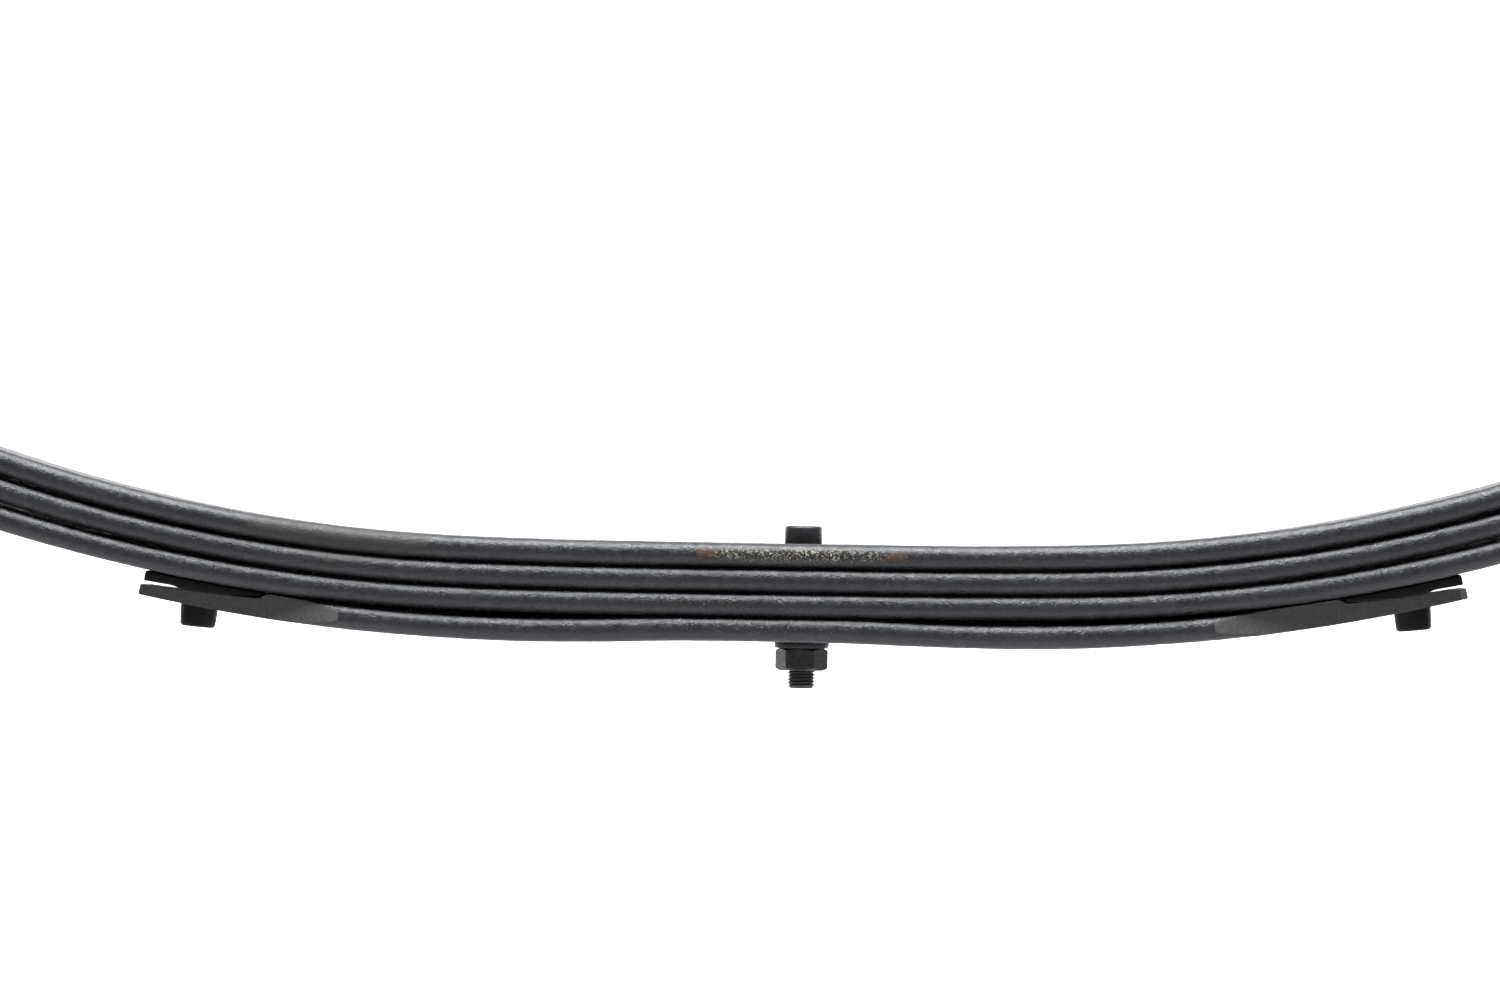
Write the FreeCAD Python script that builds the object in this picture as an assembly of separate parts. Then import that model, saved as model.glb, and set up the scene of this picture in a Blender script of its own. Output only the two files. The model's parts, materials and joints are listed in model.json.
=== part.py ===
import FreeCAD, Part
import math
import os

# A four-leaf semi-elliptic vehicle spring with upturned eyes on the main leaf, made for an axle that
# sits on top of the leaves. Millimetres. The origin is on the centre bolt's axis, at the main leaf's
# top face (the axle seat); +X runs along the leaves to the rear eye and +Z is up, out of the seat.
# The leaves' curve has its middle a little in front of the bolt. Each arm is drawn outwards from that middle,
# and at_end() sets it at the rear or, mirrored, at the front.

V = FreeCAD.Vector

# ---------------------------------------------------------------- driving dimensions
LEAF_WIDTH = 60.0
LEAF_THICK = 9.0
EDGE_RADIUS = 3.6  # rolled corners of the spring flat
MIDDLE_X = -14.0  # middle of the leaves' curve

SEAT_HALF = 45.0  # flat part of each leaf, either side of the curve's middle
MAIN_ARCS = ((67.0, 2500.0), (188.0, 600.0), (275.0, 1500.0))  # (length, radius) of the main leaf's top
LOWER_SEAT_HALF = 24.0
FOURTH_ARCS = ((20.0, -520.0), (12.0, math.inf), (210.0, 720.0))  # the same, of the fourth leaf's underside

SECOND_TIP = 512.0  # tips, from the bolt
THIRD_TIP = 430.0
FOURTH_TIP = 242.0
TIP_OPENING = 2.2  # how far a long leaf's tip stands off the leaf above it, before its taper

TIP_HALF_WIDTH = 17.0  # the trimmed end of the lower three leaves, in plan
TIP_CORNER = 5.0
LONG_TRIM = 70.0  # length of the trimmed end of the second and third leaves
FOURTH_TRIMS = {"front": 76.0, "rear": 96.0}
TAPER = 46.5  # length of each tip's thinned top
TAPER_STEP = (3.0, 2.1)  # its first drop: along, down
TAPER_TIP = 5.2  # how much thinner the tip is than the leaf

EYE_BORE_R = 17.5
EYE_ROLL_DEG = 308.0

HOLE_R = 5.25  # centre bolt's hole
SPOT_DEPTH = 0.15  # shallow spot faces under the bolt head and the washer
BOLT_R = 5.0
BOLT_HEAD_R = 6.85
BOLT_HEAD_HIGH = 6.6
BOLT_TAIL = 6.4  # thread that shows below the nut
THREAD_PITCH = 1.25
WASHER_R = 10.0
WASHER_THICK = 2.6
NUT_FLATS = 17.0
NUT_HIGH = 8.2
NUT_TURN_DEG = -5.5

PAD_HALF_WIDTH = 23.0
PAD_THICK = 3.6
PAD_INSET = 2.0  # pad's outer end, back from its leaf's tip
PEG_INSETS = {"front": 20.8, "rear": 18.4}  # peg's axis, back from its leaf's tip
PEG_R = 6.9
PEG_TIP_R = 6.6
PEG_OUT = 7.5  # peg below its leaf
PEG_LEAN = 0.5  # its lean, as a share of the leaf's slope

BUSH_FLANGE_R = 23.0
BUSH_FLANGE = 4.5
SLEEVE_R = 10.0
SLEEVE_BORE_R = 8.1
SLEEVE_LENGTH = 70.0

CLIP_AWAY = 372.0  # rebound clip's middle, from the bolt
CLIP_LONG = 25.0  # strap's size along the leaf
CLIP_THICK = 5.0
CLIP_SIDE_GAP = 0.8
CLIP_HEADROOM = 3.0  # between the main leaf and the spacer tube
SPACER_R = 7.0
CLIP_BOLT_R = 4.0
CLIP_BOLT_FLATS = 13.0
CLIP_HEAD_HIGH = 5.3
CLIP_NUT_HIGH = 6.5
CLIP_BOLT_TAIL = 4.0
RIVET_R = 4.0
RIVET_HEAD_R = 7.0
RIVET_HEAD_HIGH = 4.2
RIVET_SUNK_R = 6.5
RIVET_SUNK = 2.5

SLIDE_GAP = 0.05  # radial room of a shaft in its own hole
REST_GAP = 0.3  # between faces of different bodies that only rest on each other
FAR = 2000.0

HALF_WIDTH = LEAF_WIDTH / 2
EYE_OUTER_R = EYE_BORE_R + LEAF_THICK


# ---------------------------------------------------------------- lines of tangent arcs
class Line:
    """A line of tangent arcs in the XZ plane, from x = 0 outwards: height of its flat start, and segments of
    (length, curvature), where positive curvature turns upwards."""

    def __init__(self, height, segments):
        self.height = height
        self.segments = segments

    def states(self):
        """(x, z, slope angle) at the start of each segment and at the end of the last one."""
        x, z, angle = 0.0, self.height, 0.0
        found = [(x, z, angle)]
        for length, curvature in self.segments:
            turned = angle + curvature * length
            if abs(curvature) < 1e-12:
                x += length * math.cos(angle)
                z += length * math.sin(angle)
            else:
                x += (math.sin(turned) - math.sin(angle)) / curvature
                z += (math.cos(angle) - math.cos(turned)) / curvature
            angle = turned
            found.append((x, z, angle))
        return found

    def end(self):
        return self.states()[-1]

    def at(self, x):
        """(z, slope angle) at x, where the line has not yet turned back."""
        states = self.states()
        k = max(i for i in range(len(self.segments)) if states[i][0] <= x)
        x0, z0, angle = states[k]
        curvature = self.segments[k][1]
        if abs(curvature) < 1e-12:
            return z0 + (x - x0) * math.tan(angle), angle
        turned = math.asin(math.sin(angle) + (x - x0) * curvature)
        return z0 + (math.cos(angle) - math.cos(turned)) / curvature, turned

    def below(self, depth):
        """The parallel line at that depth, measured square to this one."""
        moved = [(length * (1 + depth * c), c / (1 + depth * c)) for length, c in self.segments]
        return Line(self.height - depth, moved)

    def eased(self, relief):
        """The same line with every arc's curvature less by relief."""
        return Line(self.height, [(n, c - relief if c else c) for n, c in self.segments])

    def cut(self, tip_x):
        """The line up to tip_x."""
        states, kept = self.states(), []
        for k, (length, curvature) in enumerate(self.segments):
            if states[k + 1][0] < tip_x:
                kept.append((length, curvature))
                continue
            angle = states[k][2]
            turned = self.at(tip_x)[1]
            straight = (tip_x - states[k][0]) / math.cos(angle)
            kept.append(((turned - angle) / curvature if curvature else straight, curvature))
            return Line(self.height, kept)
        return self


def line_from(height, seat, arcs):
    return Line(height, [(seat, 0.0)] + [(length, 1 / radius) for length, radius in arcs])


MAIN_TOP = line_from(0.0, SEAT_HALF, MAIN_ARCS)


def relief_for(tip):
    return 2 * TIP_OPENING / (tip - SEAT_HALF) ** 2


def along_curve(end, away):
    """Distance from the curve's middle of a point that far from the bolt."""
    return away - MIDDLE_X if end == "rear" else away + MIDDLE_X


SECOND_TOP = MAIN_TOP.below(LEAF_THICK).eased(relief_for(SECOND_TIP))
THIRD_TOP = SECOND_TOP.below(LEAF_THICK).eased(relief_for(THIRD_TIP))
FOURTH_BOTTOM = line_from(-4 * LEAF_THICK, LOWER_SEAT_HALF, FOURTH_ARCS)
FOURTH_TOP = FOURTH_BOTTOM.below(-LEAF_THICK)


# ---------------------------------------------------------------- shape helpers
def side_point(line, x, lift=0.0):
    """A point over the line at x, lifted square to it, in the XZ plane."""
    z, angle = line.at(x)
    return V(x - lift * math.sin(angle), 0, z + lift * math.cos(angle))


def sloped(shape, point, angle):
    """The shape, drawn about the origin, turned to slope upwards by that angle and moved to the point."""
    turned = FreeCAD.Rotation(V(0, 1, 0), -math.degrees(angle))
    moved = shape.copy()
    moved.Placement = FreeCAD.Placement(point, turned).multiply(moved.Placement)
    return moved


def at_end(end, shape):
    """A shape drawn outwards from the curve's middle, set at the front or the rear of the spring."""
    moved = shape.mirror(V(0, 0, 0), V(1, 0, 0)) if end == "front" else shape.copy()
    moved.translate(V(MIDDLE_X, 0, 0))
    return moved


def block(x0, x1, y0, y1, z0, z1):
    return Part.makeBox(x1 - x0, y1 - y0, z1 - z0, V(x0, y0, z0))


def rod(radius, z0, z1):
    return Part.makeCylinder(radius, z1 - z0, V(0, 0, z0))


def cross_rod(radius, y0, y1):
    return Part.makeCylinder(radius, y1 - y0, V(0, y0, 0), V(0, 1, 0))


def hexagon(flats, z0, z1, chamfer_low, chamfer_high):
    """A hexagon nut or head along Z, with its corners turned off at either end."""
    corner = flats / math.sqrt(3)
    points = [V(corner * math.cos(math.radians(60 * k)), corner * math.sin(math.radians(60 * k)), z0)
              for k in range(7)]
    prism = Part.Face(Part.makePolygon(points)).extrude(V(0, 0, z1 - z0))
    slant = corner - flats / 2 * 0.96
    rise = slant * math.tan(math.radians(30))
    outline = [V(0, 0, z0), V(corner - (slant if chamfer_low else 0), 0, z0),
               V(corner, 0, z0 + (rise if chamfer_low else 0)),
               V(corner, 0, z1 - (rise if chamfer_high else 0)),
               V(corner - (slant if chamfer_high else 0), 0, z1), V(0, 0, z1)]
    outline = [p for k, p in enumerate(outline) if k == 0 or p.sub(outline[k - 1]).Length > 1e-6]
    turned = Part.Face(Part.makePolygon(outline + outline[:1])).revolve(V(0, 0, 0), V(0, 0, 1), 360)
    return prism.common(turned)


def joined(shapes):
    whole = shapes[0].multiFuse(shapes[1:]).removeSplitter() if len(shapes) > 1 else shapes[0]
    solids = whole.Solids
    return solids[0] if len(solids) == 1 else whole


def leaf_section(point, angle):
    """The spring flat's rounded rectangle, hanging below a point of the leaf's top line."""
    flat = block(-1, 0, -HALF_WIDTH, HALF_WIDTH, -LEAF_THICK, 0)
    long_edges = [e for e in flat.Edges if abs(e.Vertexes[0].X - e.Vertexes[-1].X) > 0.5]
    rounded = flat.makeFillet(EDGE_RADIUS, long_edges)
    face = next(f for f in rounded.Faces if abs(f.CenterOfMass.x) < 1e-6)
    return sloped(face, point, angle)


def swept_arm(top):
    """The rear half of a leaf, along its top line."""
    pieces = []
    states = top.states()
    for (length, curvature), (x, z, angle) in zip(top.segments, states):
        section = leaf_section(V(x, 0, z), angle)
        if abs(curvature) < 1e-12:
            pieces.append(section.extrude(V(length * math.cos(angle), 0, length * math.sin(angle))))
            continue
        centre = V(x - math.sin(angle) / curvature, 0, z + math.cos(angle) / curvature)
        pieces.append(section.revolve(centre, V(0, -1, 0), math.degrees(curvature * length)))
    return joined(pieces)


# ---------------------------------------------------------------- tips of the lower leaves
def trim_plan(arm, top, trim):
    """Shears the arm's sides to a tapered end with rounded corners."""
    x, z, angle = top.end()
    out = HALF_WIDTH + 1.0
    run = trim * out / HALF_WIDTH
    outline = Part.makePolygon([V(-FAR, -out, -FAR), V(-trim, -HALF_WIDTH, -FAR), V(0, -TIP_HALF_WIDTH, -FAR),
                                V(0, TIP_HALF_WIDTH, -FAR), V(-trim, HALF_WIDTH, -FAR), V(-FAR, out, -FAR),
                                V(-FAR - run, 0, -FAR), V(-FAR, -out, -FAR)])
    prism = Part.Face(outline).extrude(V(0, 0, 2 * FAR))
    corners = [e for e in prism.Edges
               if abs(e.Vertexes[0].X) < 1e-6 and abs(e.Vertexes[-1].X) < 1e-6
               and abs(e.Vertexes[0].Z - e.Vertexes[-1].Z) > FAR]
    prism = prism.makeFillet(TIP_CORNER, corners)
    return arm.common(sloped(prism, V(x, 0, z), angle))


def taper_depth(top, x):
    """How far the thinned top lies under the leaf's own top line at x."""
    start, tip_x = top.end()[0] - TAPER, top.end()[0]
    length, drop = TAPER_STEP
    if x < start + length:
        return max(0.0, drop * (x - start) / length)
    return drop + (TAPER_TIP - drop) * (x - start - length) / (tip_x - start - length)


def taper_top(arm, top):
    """Thins the arm's end from above: a short step, then an even taper to the tip."""
    tip_x = top.end()[0]
    start = tip_x - TAPER
    knee = start + TAPER_STEP[0]
    ledge = [side_point(top, x, -taper_depth(top, x)) for x in (start, knee, (knee + tip_x) / 2, tip_x)]
    past = ledge[3].add(ledge[3].sub(ledge[2]))
    up = V(0, 0, FAR)
    edges = [Part.makeLine(ledge[0], ledge[1]), Part.Arc(*ledge[1:]).toShape(), Part.makeLine(ledge[3], past),
             Part.makeLine(past, past.add(up)), Part.makeLine(past.add(up), ledge[0].add(up)),
             Part.makeLine(ledge[0].add(up), ledge[0])]
    above = Part.Face(Part.Wire(edges)).extrude(V(0, 2 * FAR, 0))
    above.translate(V(0, -FAR, 0))
    return arm.cut(above)


def drilled(arm, top, x, radius, lean=1.0):
    """A hole through the arm at x, leaning with that share of its top line's slope."""
    z, angle = top.at(x)
    return arm.cut(sloped(rod(radius, -2 * LEAF_THICK, LEAF_THICK), V(x, 0, z), angle * lean))


# ---------------------------------------------------------------- leaves
def whole_leaf(rear_arm, front_arm):
    return joined([at_end("rear", rear_arm), at_end("front", front_arm)]).cut(rod(HOLE_R, -FAR, FAR))


def main_leaf():
    roll = math.radians(EYE_ROLL_DEG)
    rolled = Line(MAIN_TOP.height, MAIN_TOP.segments + [(EYE_BORE_R * roll, 1 / EYE_BORE_R)])
    arm = swept_arm(rolled)
    return whole_leaf(arm, arm).cut(rod(BOLT_HEAD_R + 0.6, -SPOT_DEPTH, 1))


class TipLeaf:
    """A lower leaf: its top line, how far from the bolt its tips are, and the length of its trimmed ends."""

    def __init__(self, line, tip, trims):
        self.line = line
        self.tip = tip
        self.trims = trims

    def top(self, end):
        return self.line.cut(along_curve(end, self.tip))

    def arm(self, end):
        top = self.top(end)
        arm = taper_top(trim_plan(swept_arm(top), top, self.trims[end]), top)
        return drilled(arm, top, top.end()[0] - PEG_INSETS[end], PEG_R + REST_GAP, PEG_LEAN)

    def shape(self):
        return whole_leaf(self.arm("rear"), self.arm("front"))


LONG_TRIMS = {"front": LONG_TRIM, "rear": LONG_TRIM}
SECOND = TipLeaf(SECOND_TOP, SECOND_TIP, LONG_TRIMS)
THIRD = TipLeaf(THIRD_TOP, THIRD_TIP, LONG_TRIMS)
FOURTH = TipLeaf(FOURTH_TOP, FOURTH_TIP, FOURTH_TRIMS)


def riveted_arm(end):
    """An arm of the third leaf, with the clip rivet's countersunk hole."""
    x = along_curve(end, CLIP_AWAY)
    z, angle = THIRD_TOP.at(x)
    arm = drilled(THIRD.arm(end), THIRD_TOP, x, RIVET_R + REST_GAP)
    sink = Part.makeCone(RIVET_R + REST_GAP, RIVET_SUNK_R + REST_GAP, RIVET_SUNK, V(0, 0, -RIVET_SUNK))
    return arm.cut(sloped(sink, V(x, 0, z), angle))


def third_leaf():
    return whole_leaf(riveted_arm("rear"), riveted_arm("front"))


def fourth_leaf():
    under = -4 * LEAF_THICK
    return FOURTH.shape().cut(rod(WASHER_R + 0.5, under - 1, under + SPOT_DEPTH))


# ---------------------------------------------------------------- tip pads
def tip_pad(leaf, end, underside):
    """The rubber pad that lies between a leaf's tip and the underside of the leaf above, with the peg that holds it
    in the leaf's hole."""
    top = leaf.top(end)
    tip_x = top.end()[0]
    outer, peg_x = tip_x - PAD_INSET, tip_x - PEG_INSETS[end]
    inner = tip_x - TAPER + TAPER_STEP[0] - 0.5
    middle = (inner + outer) / 2
    upper = [side_point(underside, x, -REST_GAP) for x in (inner, middle, outer)]
    floor = side_point(top, inner, REST_GAP - taper_depth(top, inner))
    inner_thick = min(PAD_THICK, upper[0].z - floor.z)
    lower = [side_point(underside, x, -REST_GAP - thick)
             for x, thick in ((inner, inner_thick), (middle, (inner_thick + PAD_THICK) / 2), (outer, PAD_THICK))]
    sides = [Part.Arc(*upper).toShape(), Part.makeLine(upper[2], lower[2]),
             Part.Arc(*reversed(lower)).toShape(), Part.makeLine(lower[0], upper[0])]
    strip = Part.Face(Part.Wire(sides)).extrude(V(0, 2 * PAD_HALF_WIDTH, 0))
    strip.translate(V(0, -PAD_HALF_WIDTH, 0))
    z, angle = top.at(peg_x)
    low = -LEAF_THICK - PEG_OUT
    high = upper[1].z - z - PAD_THICK / 2
    peg = Part.makeCone(PEG_TIP_R, PEG_R, high - low, V(0, 0, low))
    rim = [e for e in peg.Edges if abs(e.CenterOfMass.z - low) < 1e-6 and e.isClosed()]
    peg = peg.makeFillet(1.1, rim)
    return at_end(end, joined([strip, sloped(peg, V(peg_x, 0, z), angle * PEG_LEAN)]))


# ---------------------------------------------------------------- centre bolt
def centre_bolt():
    head = rod(BOLT_HEAD_R, -SPOT_DEPTH, BOLT_HEAD_HIGH)
    head = head.makeChamfer(0.9, [e for e in head.Edges if e.isClosed() and e.CenterOfMass.z > 1])
    end = -4 * LEAF_THICK - WASHER_THICK - NUT_HIGH - BOLT_TAIL
    shank = rod(BOLT_R - SLIDE_GAP, end, -SPOT_DEPTH)
    rim = [e for e in shank.Edges if e.isClosed() and abs(e.CenterOfMass.z - end) < 1e-6]
    shank = shank.makeChamfer(0.8, rim)
    grooves = []
    depth = 0.6 * THREAD_PITCH
    first = end + THREAD_PITCH
    for k in range(int((BOLT_TAIL - THREAD_PITCH) / THREAD_PITCH)):
        z = first + k * THREAD_PITCH
        groove = Part.makePolygon([V(BOLT_R + 0.1, 0, z - 0.45 * THREAD_PITCH), V(BOLT_R - depth, 0, z),
                                   V(BOLT_R + 0.1, 0, z + 0.45 * THREAD_PITCH),
                                   V(BOLT_R + 0.1, 0, z - 0.45 * THREAD_PITCH)])
        grooves.append(Part.Face(groove).revolve(V(0, 0, 0), V(0, 0, 1), 360))
    return joined([head, shank]).cut(grooves)


def centre_washer():
    top = -4 * LEAF_THICK + SPOT_DEPTH
    disc = rod(WASHER_R, top - WASHER_THICK, top)
    disc = disc.makeChamfer(0.3, [e for e in disc.Edges if e.isClosed()])
    return disc.cut(rod(HOLE_R, top - 9, top + 9))


def centre_nut():
    top = -4 * LEAF_THICK + SPOT_DEPTH - WASHER_THICK
    nut = hexagon(NUT_FLATS, top - NUT_HIGH, top, True, True)
    nut.rotate(V(0, 0, 0), V(0, 0, 1), NUT_TURN_DEG)
    return nut.cut(rod(BOLT_R, -FAR, 0))


# ---------------------------------------------------------------- eyes
def eye_centre():
    x, z, angle = MAIN_TOP.end()
    return V(x - EYE_BORE_R * math.sin(angle), 0, z + EYE_BORE_R * math.cos(angle))


def eye_bush():
    """The +Y half of the split rubber bush, centred on the eye."""
    barrel = cross_rod(EYE_BORE_R - REST_GAP, 0.25, HALF_WIDTH + REST_GAP)
    flange = cross_rod(BUSH_FLANGE_R, HALF_WIDTH + REST_GAP, HALF_WIDTH + REST_GAP + BUSH_FLANGE)
    flange = flange.makeFillet(1.2, [e for e in flange.Edges if e.isClosed()])
    bush = joined([barrel, flange])
    return bush.cut(cross_rod(SLEEVE_R + SLIDE_GAP, -1, LEAF_WIDTH))


def eye_sleeve():
    tube = cross_rod(SLEEVE_R, -SLEEVE_LENGTH / 2, SLEEVE_LENGTH / 2)
    tube = tube.makeChamfer(0.6, [e for e in tube.Edges if e.isClosed()])
    return tube.cut(cross_rod(SLEEVE_BORE_R, -SLEEVE_LENGTH, SLEEVE_LENGTH))


# ---------------------------------------------------------------- rebound clips
# Each clip is drawn about the point of the third leaf's top line where its rivet stands, and takes its height from
# the rear one's place.
CLIP_INSIDE = HALF_WIDTH + CLIP_SIDE_GAP
CLIP_FLOOR = -LEAF_THICK - REST_GAP - 0.1


def clip_bolt_height():
    """Height of the clip bolt's axis over the third leaf's top, square to it."""
    x = along_curve("rear", CLIP_AWAY)
    z, angle = THIRD_TOP.at(x)
    main_z = MAIN_TOP.at(x)[0]
    return (main_z - z) * math.cos(angle) + CLIP_HEADROOM + SPACER_R


def clip_strap():
    rise = clip_bolt_height()
    outside = CLIP_INSIDE + CLIP_THICK
    crown = 11.0
    strap = block(-CLIP_LONG / 2, CLIP_LONG / 2, -outside, outside, CLIP_FLOOR - CLIP_THICK, rise + crown)
    strap = strap.makeFillet(CLIP_THICK, [e for e in strap.Edges
                                          if abs(e.CenterOfMass.z - CLIP_FLOOR + CLIP_THICK) < 1e-6
                                          and abs(e.CenterOfMass.x) < 1e-6])
    strap = strap.makeFillet(crown - 0.5, [e for e in strap.Edges
                                           if abs(e.CenterOfMass.z - rise - crown) < 1e-6
                                           and abs(e.CenterOfMass.y) < 1e-6])
    hollow = block(-CLIP_LONG, CLIP_LONG, -CLIP_INSIDE, CLIP_INSIDE, CLIP_FLOOR, rise + 2 * crown)
    strap = strap.cut(hollow)
    bolt_way = cross_rod(CLIP_BOLT_R + REST_GAP, -FAR, FAR)
    bolt_way.translate(V(0, 0, rise))
    return strap.cut(bolt_way).cut(rod(RIVET_R + REST_GAP, CLIP_FLOOR - 9, 0))


def clip_rivet():
    low = CLIP_FLOOR - CLIP_THICK
    head = Part.makeSphere(RIVET_HEAD_R * 1.15, V(0, 0, low + RIVET_HEAD_R * 1.15 - RIVET_HEAD_HIGH))
    head = head.common(rod(RIVET_HEAD_R, low - 9, low))
    sunk = Part.makeCone(RIVET_R, RIVET_SUNK_R, RIVET_SUNK, V(0, 0, -RIVET_SUNK))
    return joined([head, rod(RIVET_R, low, -RIVET_SUNK), sunk])


def clip_spacer():
    tube = cross_rod(SPACER_R, -CLIP_INSIDE, CLIP_INSIDE)
    tube = tube.cut(cross_rod(CLIP_BOLT_R + 0.3, -FAR, FAR))
    tube.translate(V(0, 0, clip_bolt_height()))
    return tube


def clip_bolt():
    outside = CLIP_INSIDE + CLIP_THICK
    far_end = outside + CLIP_NUT_HIGH + CLIP_BOLT_TAIL
    head = hexagon(CLIP_BOLT_FLATS, outside, outside + CLIP_HEAD_HIGH, False, True)
    head.rotate(V(0, 0, 0), V(1, 0, 0), 90)
    shank = cross_rod(CLIP_BOLT_R - SLIDE_GAP, -outside, far_end)
    shank = shank.makeChamfer(0.7, [e for e in shank.Edges if e.isClosed() and e.CenterOfMass.y > outside])
    bolt = joined([head, shank])
    bolt.translate(V(0, 0, clip_bolt_height()))
    return bolt


def clip_nut():
    outside = CLIP_INSIDE + CLIP_THICK
    nut = hexagon(CLIP_BOLT_FLATS, outside, outside + CLIP_NUT_HIGH, True, True)
    nut = nut.cut(rod(CLIP_BOLT_R, 0, FAR))
    nut.rotate(V(0, 0, 0), V(1, 0, 0), -90)
    nut.translate(V(0, 0, clip_bolt_height()))
    return nut


# ---------------------------------------------------------------- assembly
def save(name, shape):
    if not shape.isValid():
        raise ValueError(name + " is not a valid shape")
    shape.exportStep("parts/" + name + ".step")
    print(name, len(shape.Solids), "solid", round(shape.Volume), "mm3")


def at_eye(end, shape):
    return at_end(end, sloped(shape, eye_centre(), 0))


def at_clip(end, shape):
    x = along_curve(end, CLIP_AWAY)
    z, angle = THIRD_TOP.at(x)
    return at_end(end, sloped(shape, V(x, 0, z), angle))


def main():
    os.makedirs("parts", exist_ok=True)
    save("main_leaf", main_leaf())
    save("second_leaf", SECOND.shape())
    save("third_leaf", third_leaf())
    save("fourth_leaf", fourth_leaf())
    save("centre_bolt", centre_bolt())
    save("centre_washer", centre_washer())
    save("centre_nut", centre_nut())
    right_bush = eye_bush()
    left_bush = right_bush.mirror(V(0, 0, 0), V(0, 1, 0))
    for end in ("front", "rear"):
        save(end + "_second_leaf_pad", tip_pad(SECOND, end, MAIN_TOP.below(LEAF_THICK)))
        save(end + "_third_leaf_pad", tip_pad(THIRD, end, SECOND_TOP.below(LEAF_THICK)))
        save(end + "_fourth_leaf_pad", tip_pad(FOURTH, end, THIRD_TOP.below(LEAF_THICK)))
        save(end + "_eye_bush_right", at_eye(end, right_bush))
        save(end + "_eye_bush_left", at_eye(end, left_bush))
        save(end + "_eye_sleeve", at_eye(end, eye_sleeve()))
        for name, shape in (("clip_strap", clip_strap()), ("clip_rivet", clip_rivet()),
                            ("clip_spacer", clip_spacer()), ("clip_bolt", clip_bolt()), ("clip_nut", clip_nut())):
            save(end + "_" + name, at_clip(end, shape))
        centre = at_end(end, Part.Vertex(eye_centre())).Point
        print(end, "eye centre", round(centre.x, 3), round(centre.z, 3))


main()
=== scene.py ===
import json
import math

import bmesh
import bpy
import numpy as np
from mathutils import Matrix, Vector, noise
from mathutils.bvhtree import BVHTree


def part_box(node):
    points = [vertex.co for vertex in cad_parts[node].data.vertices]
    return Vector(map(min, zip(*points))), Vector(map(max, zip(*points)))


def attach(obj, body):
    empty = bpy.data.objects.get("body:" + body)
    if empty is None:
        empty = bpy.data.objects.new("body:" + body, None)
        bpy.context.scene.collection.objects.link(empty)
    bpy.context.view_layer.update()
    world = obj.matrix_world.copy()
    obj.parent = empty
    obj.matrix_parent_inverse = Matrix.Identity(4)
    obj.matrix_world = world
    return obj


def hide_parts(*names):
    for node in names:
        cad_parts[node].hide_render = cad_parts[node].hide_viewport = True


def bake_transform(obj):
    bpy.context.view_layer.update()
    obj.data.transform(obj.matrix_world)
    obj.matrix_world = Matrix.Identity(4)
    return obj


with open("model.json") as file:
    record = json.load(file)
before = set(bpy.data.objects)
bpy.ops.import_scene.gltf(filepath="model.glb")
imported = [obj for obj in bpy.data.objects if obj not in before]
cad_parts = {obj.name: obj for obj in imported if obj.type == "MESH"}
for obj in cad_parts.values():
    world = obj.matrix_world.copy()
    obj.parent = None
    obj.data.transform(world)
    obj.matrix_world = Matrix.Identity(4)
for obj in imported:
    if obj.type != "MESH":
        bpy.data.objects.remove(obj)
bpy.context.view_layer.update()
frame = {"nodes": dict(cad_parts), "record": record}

# A four-leaf spring seen from its left side. Metres; +X runs to the rear eye, +Z up out of the axle seat.
MM = 0.001
ENDS = (("front", -1), ("rear", 1))

# ---------------------------------------------------------------- sizes of the drawn pieces, in millimetres
STATION = 1.25  # distance between a leaf's rings of points
PROFILE_STEP = 2.0
SMOOTHING = 26.0  # length over which the profile read from the frame is averaged
OFF_CENTRE = 14.0  # profiles are read this far from the middle, clear of the holes
EDGE_DEPTH = 4.2  # how far a rolled edge bulges out of the leaf's flat faces
EDGE_POWER = 2.05  # 2 is an ellipse; more is squarer
EDGE_POINTS = 22
FACE_POINTS = 13
CROWN_LIMIT = 2.4  # gap above which the fourth leaf's top stays flat
CROWN_FADE = 0.6  # the crown dies away over this much gap below the limit
CROWN_HALF = 24.0  # half the width that the crown takes up
LEAF_THICK = 9.0
BELOW = -400.0  # height from which rays are cast upwards, well under the spring
ABOVE = 400.0
EYE_WRAP = 309  # degrees that the main leaf turns round an eye
EYE_STEP = 3
TIP_STATIONS = (6, 5, 4, 3, 2.2, 1.5, 0.9, 0.4, 0.12)  # a leaf's last stations, as distances from its tip
FULL_HALF = (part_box("main_leaf")[1].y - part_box("main_leaf")[0].y) / 2 / MM


# ---------------------------------------------------------------- reading the frame
class Shape:
    """Rays against a CAD node, in millimetres, for one end of the spring drawn with x running outwards."""

    def __init__(self, node, sign):
        mesh = frame["nodes"][node].data
        points = [Vector((sign * v.co.x, v.co.y, v.co.z)) / MM for v in mesh.vertices]
        self.tree = BVHTree.FromPolygons(points, [p.vertices[:] for p in mesh.polygons])

    def hit(self, start, way):
        """The first point of the node on a ray, or None."""
        return self.tree.ray_cast(Vector(start), Vector(way))[0]


def box_mm(node):
    low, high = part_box(node)
    return low / MM, high / MM


def smoothed(values, count):
    """Running average, mirrored at the start and carried on straight at the end."""
    kernel = np.ones(count) / count
    before = values[count:0:-1]
    after = values[-1] + (values[-1] - values[-2]) * np.arange(1, count + 1)
    long = np.convolve(np.concatenate([before, values, after]), kernel, "same")
    return long[count:-count]


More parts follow.
